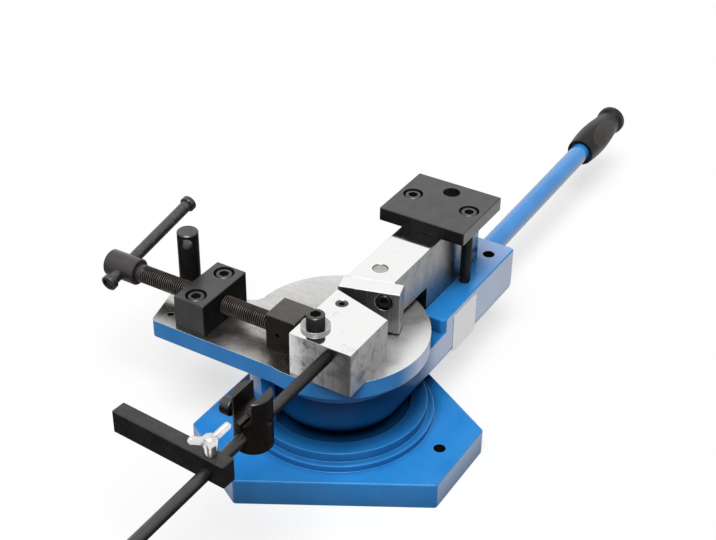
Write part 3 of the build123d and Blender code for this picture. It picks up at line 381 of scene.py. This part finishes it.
def ground_steel(name, top_grain, side_grain, spots, fade=None):
    """Steel that is polished on top and milled on its sides, its sides darker partly as painted
    shade; fade paints a reflection and a shadow on its front along x.
    """
    looks = Looks(name, Metallic=1.0)
    upward = looks.ramp(looks.facing()[2], 0.80, 0.95)
    lay_top = looks.noise(1.0, 4, top_grain, 0.6)
    lay_side = looks.noise(1.0, 4, side_grain, 0.6)
    clouds = looks.noise(60, 5, roughness=0.7, twist=0.6)
    # Sides: the milled finish, darker partly as painted shade
    side = looks.blend(looks.spread(lay_side, 0.0, 0.2), GROUND_SIDE_AND_SHADE, GROUND_TOP_AND_HIGHLIGHT)
    if fade:
        # Painted reflection (pale) and painted shadow (dim) on the front faces along x
        near = looks.plus(looks.split(looks.spot)[0], looks.times(clouds, 24 * MM))
        front = looks.ramp(looks.facing()[1], -0.5, -0.8)
        pale = looks.times(front, looks.ramp(near, fade[0], fade[1], 0.75, 0.0))
        dim = looks.times(front, looks.ramp(near, fade[1], fade[2], 0.0, 0.9))
        side = looks.blend(dim, looks.blend(pale, side, GROUND_TOP_AND_HIGHLIGHT), GROUND_SPOT_AND_SHADOW)
    side = looks.blend(looks.ramp(clouds, 0.50, 0.70, 0.0, spots), side, GROUND_SPOT_AND_SHADOW)
    top = looks.blend(looks.ramp(lay_top, 0.35, 0.75, 0.0, 0.06), GROUND_TOP_AND_HIGHLIGHT, GROUND_SIDE_AND_SHADE)
    top = looks.blend(looks.ramp(clouds, 0.60, 0.80, 0.0, spots * 0.3), top, GROUND_SPOT_AND_SHADOW)
    colour = looks.blend(upward, side, top)
    # Painted highlight: paler, rougher edges
    rim = looks.edges(0.5 * MM)
    looks.shade("Base Color", looks.blend(looks.times(rim, 0.4), colour, GROUND_TOP_AND_HIGHLIGHT))
    polished, milled = looks.spread(clouds, 0.06, 0.13), looks.spread(clouds, 0.24, 0.40)
    looks.shade("Roughness", looks.mix(rim, looks.mix(upward, milled, polished), 0.5))
    lay = looks.mix(upward, lay_side, looks.times(lay_top, 0.4))
    looks.shade("Normal", looks.relief(lay, 0.012 * MM, looks.rounded(0.5 * MM)))
    return looks.material


def rubbed(looks, worn):
    """Where the edges of an oxide finish are rubbed bare."""
    uneven = looks.ramp(looks.noise(150, 3), 0.38, 0.66, 0.0, worn)
    return looks.times(looks.edges(0.7 * MM), uneven)


def oxide(name, dark=OXIDE_DARK, light=OXIDE_LIGHT, rough=(0.34, 0.50), worn=0.5, lay=None,
          mottle=0.0, tops=1.0, sides=0.15, fronts=0.0, rights=0.0, tint=CLEAR_TINT, fade=None):
    """Black oxide under oil, whose weight is given by side; fade is its change along y."""
    looks = Looks(name, IOR=OXIDE_INDEX, Coat_IOR=OIL_INDEX, Coat_Roughness=0.32, Coat_Tint=tint)
    patches = looks.noise(48, 4, roughness=0.6, twist=0.5)
    film = looks.blend(looks.ramp(patches, 0.33, 0.67), dark, light)
    if mottle:
        flecks = looks.noise(330, 3, roughness=0.7)
        film = looks.blend(looks.ramp(flecks, 0.48, 0.66, 0.0, mottle), film, OXIDE_WORN)
    looks.shade("Base Color", looks.blend(rubbed(looks, worn), film, OXIDE_WORN))
    looks.shade("Roughness", looks.spread(looks.noise(130, 3), *rough))
    grain = looks.noise(1.0, 3, lay) if lay else looks.noise(900, 2)
    looks.shade("Normal", looks.relief(grain, 0.025 * MM, looks.rounded(0.5 * MM)))
    right, back, up = looks.facing()
    oiled = looks.ramp(up, 0.25, 0.85, sides, tops)
    oiled = looks.larger(oiled, looks.ramp(back, -0.6, -0.9, 0.0, fronts))
    oiled = looks.larger(oiled, looks.ramp(right, 0.6, 0.9, 0.0, rights))
    if fade:
        oiled = looks.times(oiled, looks.ramp(looks.split(looks.spot)[1], *fade))
    looks.shade("Coat Weight", looks.times(oiled, looks.spread(patches, 0.85, 1.0)))
    return looks.material


def threaded(name, mid, radius, pitch, start):
    """Oxide on a screw along x; from start on, its thread has bright crests and dark roots."""
    looks = Looks(name, IOR=THREAD_INDEX, Coat_IOR=OIL_INDEX, Coat_Roughness=0.30,
                  Coat_Tint=PLUM_TINT)
    x, y, z = looks.split(looks.spot)
    patches = looks.noise(70, 4, roughness=0.6, twist=0.5)
    film = looks.blend(looks.ramp(patches, 0.33, 0.67), PLUM_DARK, PLUM_LIGHT)
    away = looks.power(looks.minus(y, mid[0]), 2.0)
    away = looks.plus(away, looks.power(looks.minus(z, mid[1]), 2.0))
    away = looks.power(away, 0.5)
    beyond = looks.ramp(x, start - 0.2 * MM, start)
    cut = looks.times(beyond, looks.ramp(away, radius + 0.4 * MM, radius + 0.2 * MM))
    flank, deep, high = radius - 0.12 * pitch, radius - 0.30 * pitch, radius - 0.02 * pitch
    root = looks.times(cut, looks.ramp(away, flank, deep))
    crest = looks.times(cut, looks.ramp(away, flank, high))
    worn = looks.times(crest, looks.ramp(looks.noise(120, 3), 0.3, 0.6, 0.3, 0.85))
    rub = looks.times(rubbed(looks, 0.5), looks.minus(1.0, cut))
    film = looks.blend(root, looks.blend(rub, film, OXIDE_WORN), ROOT_DARK)
    looks.shade("Base Color", looks.blend(worn, film, CREST_WORN))
    looks.shade("Metallic", worn)
    looks.shade("Roughness", looks.spread(patches, 0.28, 0.42))
    looks.shade("Normal", looks.relief(looks.noise(800, 2), 0.02 * MM, looks.rounded(0.25 * MM)))
    oiled = looks.ramp(looks.facing()[2], 0.0, 0.9, 0.0, 0.6)
    looks.shade("Coat Weight", looks.times(oiled, looks.ramp(cut, 0.0, 1.0, 1.0, 0.25)))
    return looks.material


def zinc(name, dull, bright):
    looks = Looks(name, Metallic=1.0)
    patches = looks.noise(160, 4, roughness=0.6)
    colour = looks.blend(looks.spread(patches), dull, bright)
    colour = looks.blend(looks.ramp(looks.openness(9 * MM), 0.35, 0.9), ZINC_SHADE, colour)
    rim = looks.times(looks.edges(0.6 * MM), 0.5)
    looks.shade("Base Color", looks.blend(rim, colour, ZINC_BRIGHT))
    looks.shade("Roughness", looks.spread(patches, 0.22, 0.12))
    looks.shade("Normal", looks.relief(looks.noise(420, 2), 0.05 * MM, looks.rounded(0.5 * MM)))
    return looks.material


def rubber(name, worn=None):
    """Rubber, pale where the point attribute named by worn says so."""
    looks = Looks(name, IOR=RUBBER_INDEX, Coat_IOR=OIL_INDEX, Coat_Roughness=0.4)
    patches = looks.noise(70, 4, roughness=0.6)
    colour = looks.blend(looks.ramp(patches, 0.35, 0.65), RUBBER_DARK, RUBBER_LIGHT)
    if worn:
        wear = looks.add("Attribute", attribute_name=worn).outputs["Fac"]
        colour = looks.blend(wear, colour, RUBBER_WORN)
    rim = looks.times(looks.edges(1.0 * MM), 0.3)
    looks.shade("Base Color", looks.blend(rim, colour, OXIDE_WORN))
    looks.shade("Roughness", looks.spread(patches, 0.40, 0.56))
    looks.shade("Normal", looks.relief(looks.noise(1500, 2), 0.04 * MM, looks.rounded(0.6 * MM)))
    gloss(looks, 0.45, 0.85, 0.45)
    return looks.material


def bronze():
    looks = Looks("bronze", Metallic=1.0)
    turned = looks.noise(1.0, 3, TURNED_LAY)
    looks.shade("Base Color", looks.blend(looks.spread(turned), BRONZE_DARK, BRONZE_LIGHT))
    looks.shade("Roughness", looks.spread(turned, 0.24, 0.40))
    looks.shade("Normal", looks.relief(turned, 0.01 * MM, looks.rounded(0.4 * MM)))
    return looks.material


def bare_plate():
    looks = Looks("bare_plate", IOR=PLATE_INDEX, Coat_IOR=PLATE_FILM_INDEX, Coat_Roughness=0.2)
    clouds = looks.noise(90, 4, roughness=0.6)
    colour = looks.blend(looks.spread(clouds), PLATE_DULL, PLATE_PALE)
    rim = looks.times(looks.edges(0.4 * MM), 0.5)
    looks.shade("Base Color", looks.blend(rim, colour, ZINC_DULL))
    looks.shade("Roughness", looks.spread(clouds, 0.28, 0.40))
    looks.shade("Normal", looks.relief(looks.noise(700, 2), 0.01 * MM, looks.rounded(0.2 * MM)))
    gloss(looks, 0.40, 0.56, 1.0)
    return looks.material


def dress(material, *names):
    for name in names:
        slots = NODES[name].data.materials
        slots.clear()
        slots.append(material)


def piece(name, bm, material, body, slot, *stands_for):
    mesh = bpy.data.meshes.new(name)
    bmesh.ops.recalc_face_normals(bm, faces=bm.faces)
    bm.to_mesh(mesh)
    bm.free()
    mesh.shade_smooth()
    mesh.set_sharp_from_angle(angle=math.radians(SMOOTH_ANGLE))
    mesh.materials.append(material)
    made = bpy.data.objects.new(name, mesh)
    bpy.context.scene.collection.objects.link(made)
    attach(made, body)
    if stands_for:
        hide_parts(*stands_for)


def skin(bm, low, high, closed):
    """Faces between two rows of points, around to the first point again if closed."""
    for j in range(len(low) if closed else len(low) - 1):
        k = (j + 1) % len(low)
        bm.faces.new((low[j], low[k], high[k], high[j]))


def resurfaced(node, axis, mid, radius, span, rings, around, dip):
    """A copy of a node whose round stretch gets a new surface, dip(along, turn) below the old."""
    bm = bmesh.new()
    bm.from_mesh(NODES[node].data)
    across = [i for i in range(3) if i != axis]

    def plain(vert):
        out = math.hypot(vert.co[across[0]] - mid[0], vert.co[across[1]] - mid[1])
        within = span[0] - SPAN_SLACK < vert.co[axis] < span[1] + SPAN_SLACK
        return abs(out - radius) < ROUND_SLACK and within

    old = [face for face in bm.faces if all(plain(vert) for vert in face.verts)]
    bmesh.ops.delete(bm, geom=old, context="FACES")
    rows = []
    for i in range(rings + 1):
        along = span[0] + (span[1] - span[0]) * i / rings
        row = []
        for j in range(around):
            turn = FULL_TURN * j / around
            out = radius - (dip(along, turn) if 0 < i < rings else 0.0)
            co = [0.0, 0.0, 0.0]
            co[axis] = along
            co[across[0]] = mid[0] + out * math.cos(turn)
            co[across[1]] = mid[1] + out * math.sin(turn)
            row.append(bm.verts.new(co))
        rows.append(row)
    for low, high in zip(rows, rows[1:]):
        skin(bm, low, high, closed=True)
    return bm


def threaded_copy(node, mid, radius, pitch, span, around, start):
    """A copy of a screw along x, with its thread cut from start on."""
    def dip(along, turn):
        if along < start:
            return 0.0
        phase = (along / pitch - turn / FULL_TURN) % 1.0
        rise = min(1.0, max(0.0, (abs(2 * phase - 1) - THREAD_ROOT) / THREAD_FLANK))
        return THREAD_DEPTH * pitch * (1 - rise)

    rings = round((span[1] - span[0]) / pitch * RINGS_A_TURN)
    return resurfaced(node, 0, mid, radius, span, rings, around, dip)


def knurl_dip(along, turn):
    if along > FORMER_SPAN[1] - KNURL_PLAIN or along < FORMER_SPAN[0] + KNURL_PLAIN:
        return 0.0
    return KNURL_DEPTH * abs(2 * ((turn * KNURL_COUNT / FULL_TURN) % 1.0) - 1)


def rounded_plate():
    bm = bmesh.new()
    mid_y, mid_z = sum(PLATE_Y) / 2, sum(PLATE_Z) / 2
    half_y, half_z = (PLATE_Y[1] - PLATE_Y[0]) / 2, (PLATE_Z[1] - PLATE_Z[0]) / 2

    def outline(x, inset):
        ring = []
        for corner, (sy, sz) in enumerate(((1, 1), (-1, 1), (-1, -1), (1, -1))):
            for step in range(PLATE_CORNER_STEPS + 1):
                turn = math.radians(90 * corner + 90 / PLATE_CORNER_STEPS * step)
                y = mid_y + sy * (half_y - PLATE_R) + (PLATE_R - inset) * math.cos(turn)
                z = mid_z + sz * (half_z - PLATE_R) + (PLATE_R - inset) * math.sin(turn)
                ring.append(bm.verts.new((x, y, z)))
        return ring

    rings = [outline(PLATE_FACE, 0.0), outline(PLATE_FACE + PLATE_T - PLATE_EDGE, 0.0)]
    rings.append(outline(PLATE_FACE + PLATE_T, PLATE_EDGE))
    for low, high in zip(rings, rings[1:]):
        skin(bm, low, high, closed=True)
    bm.faces.new(rings[0][::-1])
    bm.faces.new(rings[-1])
    return bm


def grip_profile(along):
    """The grip's outer radius at each place along the handle, from its own mesh."""
    rings = {}
    for vert in NODES["handle_grip"].data.vertices:
        offset = vert.co - GRIP_FROM
        place = offset.dot(along)
        key = round(place / MM, 1)
        rings[key] = max(rings.get(key, 0.0), (offset - along * place).length)
    places = sorted(rings)

    def radius(place):
        wanted = place / MM
        for low, high in zip(places, places[1:]):
            if low <= wanted <= high:
                part = (wanted - low) / (high - low)
                return rings[low] * (1 - part) + rings[high] * part
        return rings[places[-1]]
    return radius


def ridge(phase):
    """A zigzag from none to one and back in each whole step."""
    return 1 - abs(2 * (phase % 1.0) - 1)


def grip_pads():
    """Two oval fields of small pyramids moulded on the grip."""
    slope = math.radians(GRIP_SLOPE)
    along = Vector((0, math.cos(slope), math.sin(slope)))
    up = Vector((0, -math.sin(slope), math.cos(slope)))
    radius = grip_profile(along)
    mid, half = sum(PAD_ALONG) / 2, (PAD_ALONG[1] - PAD_ALONG[0]) / 2
    spread = math.radians(PAD_HALF_ANGLE)
    width = PAD_MEAN_R * spread
    bm = bmesh.new()
    wear = bm.verts.layers.float.new("wear")
    count_s = round(2 * half / PAD_PITCH * PAD_STEPS)
    count_t = round(2 * width / PAD_PITCH * PAD_STEPS)
    for facing in PAD_TURNS:
        rows = []
        for i in range(count_s + 1):
            place = mid - half + 2 * half * i / count_s
            row = []
            for j in range(count_t + 1):
                t = -1 + 2 * j / count_t
                inside = 1 - ((place - mid) / half) ** 2 - t * t
                u = (place - mid) / PAD_PITCH
                v = t * width / PAD_PITCH
                peak = ridge(u + v) * 0.5 + ridge(u - v) * 0.5
                field = min(1.0, max(0.0, inside / PAD_BORDER))
                lift = field * PAD_RISE * (PAD_BASE + (1 - PAD_BASE) * peak)
                if inside < PAD_OUTSIDE:
                    lift = -PAD_SINK
                turn = math.radians(90 - facing) + t * spread
                out = radius(place) + lift
                across = Vector((1, 0, 0)) * math.cos(turn) + up * math.sin(turn)
                row.append(bm.verts.new(GRIP_FROM + along * place + across * out))
                row[-1][wear] = field * max(0.0, min(1.0, (peak - WEAR_FROM) * WEAR_GAIN))
            rows.append(row)
        for low, high in zip(rows, rows[1:]):
            skin(bm, low, high, closed=False)
    return bm


def seen_rays(tree):
    """One for camera, mirror and glass rays, none for the rays that light the object."""
    path = tree.nodes.new("ShaderNodeLightPath")
    total = path.outputs["Is Camera Ray"]
    for name in ("Is Glossy Ray", "Is Transmission Ray"):
        node = tree.nodes.new("ShaderNodeMath")
        node.operation = "MAXIMUM"
        tree.links.new(total, node.inputs[0])
        tree.links.new(path.outputs[name], node.inputs[1])
        total = node.outputs[0]
    return total


def pick_shown(tree, hidden, shown, output):
    """One shader for the rays that light the object, and another for those that show."""
    pick = tree.nodes.new("ShaderNodeMixShader")
    for socket, value in zip(pick.inputs, (seen_rays(tree), hidden, shown)):
        tree.links.new(value, socket)
    out = tree.nodes.new("ShaderNodeOutput" + output)
    tree.links.new(pick.outputs[0], out.inputs["Surface"])


def diffuse(tree, tone):
    node = tree.nodes.new("ShaderNodeBsdfDiffuse")
    node.inputs["Color"].default_value = (tone, tone, tone, 1)
    return node.outputs[0]


def background(tree, strength):
    node = tree.nodes.new("ShaderNodeBackground")
    node.inputs["Color"].default_value = (1, 1, 1, 1)
    node.inputs["Strength"].default_value = strength
    return node.outputs[0]


def stage():
    bm = bmesh.new()
    corners = ((-1, -1), (1, -1), (1, 1), (-1, 1))
    reach = [(x * FLOOR_HALF, y * FLOOR_HALF, -FLOOR_DROP) for x, y in corners]
    bm.faces.new([bm.verts.new(corner) for corner in reach])
    mesh = bpy.data.meshes.new("floor")
    bm.to_mesh(mesh)
    bm.free()
    floor = bpy.data.objects.new("floor", mesh)
    bpy.context.scene.collection.objects.link(floor)
    material = bpy.data.materials.new("floor")
    material.use_nodes = True
    tree = material.node_tree
    tree.nodes.clear()
    glow = tree.nodes.new("ShaderNodeEmission")
    glow.inputs["Strength"].default_value = FLOOR_GLOW
    paper = tree.nodes.new("ShaderNodeAddShader")
    tree.links.new(diffuse(tree, FLOOR_SHOWN_TONE), paper.inputs[0])
    tree.links.new(glow.outputs[0], paper.inputs[1])
    pick_shown(tree, diffuse(tree, FLOOR_TONE), paper.outputs[0], "Material")
    mesh.materials.append(material)


def light():
    world = bpy.data.worlds.new("studio")
    bpy.context.scene.world = world
    world.use_nodes = True
    tree = world.node_tree
    tree.nodes.clear()
    pick_shown(tree, background(tree, SKY_STRENGTH), background(tree, 1.0), "World")
    lamp = bpy.data.lights.new("key", "SUN")
    lamp.energy, lamp.angle = KEY_STRENGTH, math.radians(KEY_ANGLE)
    key = bpy.data.objects.new("key", lamp)
    key.rotation_euler = KEY_FROM.to_track_quat("Z", "Y").to_euler()
    key.location = KEY_FROM
    bpy.context.scene.collection.objects.link(key)


def camera():
    data = bpy.data.cameras.new("camera")
    data.lens, data.sensor_width, data.sensor_fit = CAMERA_LENS, CAMERA_SENSOR, "HORIZONTAL"
    data.clip_start = CAMERA_NEAR
    shot = bpy.data.objects.new("camera", data)
    bpy.context.scene.collection.objects.link(shot)
    turn = Matrix.Rotation(math.radians(CAMERA_TURN), 4, "Z")
    tilt = Matrix.Rotation(math.radians(90 - CAMERA_TILT), 4, "X")
    roll = Matrix.Rotation(math.radians(CAMERA_ROLL), 4, "Z")
    shot.matrix_world = Matrix.Translation(CAMERA_PLACE) @ turn @ tilt @ roll
    bpy.context.scene.camera = shot


def dress_enamel():
    base = enamel("blue_enamel_base", BASE_BORES, PAINT_INDEX, FILM_MOST, FILM_INDEX, RING_SHELTER)
    arm = enamel("blue_enamel_arm", ARM_BORES, ARM_INDEX, FILM_MOST, ARM_FILM_INDEX, HUB_SHELTER)
    tube = enamel("blue_enamel_tube", (), TUBE_INDEX, TUBE_FILM_MOST, FILM_INDEX)
    dress(base, "base_plate")
    dress(arm, "swing_arm")
    dress(tube, "handle_tube")
    dress(machined_table(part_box("table")[1].z), "table")


def dress_metal():
    former = ground_steel("ground_former", FORMER_TOP_LAY, FORMER_SIDE_LAY, 0.85, FORMER_FADE)
    bar = ground_steel("ground_bar", BAR_TOP_LAY, BAR_SIDE_LAY, 0.4)
    dress(former, "former_block", "spindle")
    dress(bar, "bending_bar", "bending_plate")
    dress(zinc("dowel_steel", DOWEL_DULL, DOWEL_BRIGHT), "bar_dowel")
    dress(zinc("washer_zinc", WASHER_DULL, WASHER_BRIGHT), "former_washer")
    dress(zinc("bright_zinc", ZINC_DULL, ZINC_BRIGHT), "wing_screw")
    dress(bronze(), "hub_bush", "thrust_washers")


def dress_oxide(plain, turned):
    block = oxide("black_oxide", lay=MILLED_LAY, sides=0.0, fronts=0.45)
    plate = oxide("black_oxide_plate", lay=MILLED_LAY, sides=0.03, rights=1.0)
    dull = oxide("black_oxide_dull", tops=0.7, sides=0.02, mottle=0.08)
    warm = oxide("black_oxide_warm", WARM_DARK, WARM_LIGHT, sides=0.05, tint=WARM_TINT)
    rough = oxide("black_oxide_mottled", worn=0.3, mottle=0.45, sides=0.2)
    post = oxide("black_oxide_post", POST_DARK, POST_LIGHT, TURNED_ROUGH, worn=0.8, mottle=0.03,
                 tops=0.8, sides=0.02)
    rod = oxide("black_oxide_rod", rough=TURNED_ROUGH, mottle=0.06, sides=0.04, fade=ROD_FADE)
    deep = oxide("black_oxide_deep", GRUB_DARK, GRUB_DARK, worn=0.0, tops=0.1, sides=0.0)
    dress(block, "bracket")
    dress(plate, "clamp_plate")
    dress(dull, "stop_bar")
    dress(warm, "jaw")
    dress(rough, "tbar", "tbar_caps")
    dress(post, "vee_post")
    dress(rod, "stop_rod")
    dress(deep, "jaw_grub")
    dress(turned, "upright_pin")
    dress(plain, "bracket_screws", "clamp_plate_screws", "plate_screws", "former_screw",
          "former_grub", "leg_screws", "spindle_washer", "spindle_nut")


def add_pieces(plain, turned):
    shape = threaded_copy("clamp_screw", CLAMP_MID, CLAMP_R, CLAMP_PITCH, CLAMP_SPAN, CLAMP_AROUND,
                          CLAMP_START)
    worn = threaded("black_oxide_thread", CLAMP_MID, CLAMP_R, CLAMP_PITCH, CLAMP_START)
    piece("clamp_screw_threaded", shape, worn, "clamp_screw", "black_oxide", "clamp_screw")
    shape = threaded_copy("post_screw", POST_MID, POST_R, POST_PITCH, POST_SPAN, POST_AROUND,
                          POST_SPAN[0])
    piece("post_screw_threaded", shape, turned, "post_screw", "black_oxide", "post_screw")
    shape = resurfaced("former_screw", 2, FORMER_MID, FORMER_R, FORMER_SPAN, KNURL_RINGS,
                       KNURL_COUNT * KNURL_STEPS, knurl_dip)
    piece("former_screw_knurled", shape, plain, "frame", "black_oxide", "former_screw")
    piece("bare_plate", rounded_plate(), bare_plate(), "swing_arm", "bright_zinc")
    pads = rubber("grip_rubber_pad", "wear")
    piece("grip_pads", grip_pads(), pads, "swing_arm", "grip_rubber")


bpy.context.scene.view_settings.view_transform = "Standard"
stage()
light()
camera()
plain_oxide = oxide("black_oxide_plain")
turned_oxide = oxide("black_oxide_turned", rough=TURNED_ROUGH, sides=0.04)
dress_enamel()
dress_metal()
dress_oxide(plain_oxide, turned_oxide)
dress(rubber("grip_rubber"), "handle_grip")
add_pieces(plain_oxide, turned_oxide)
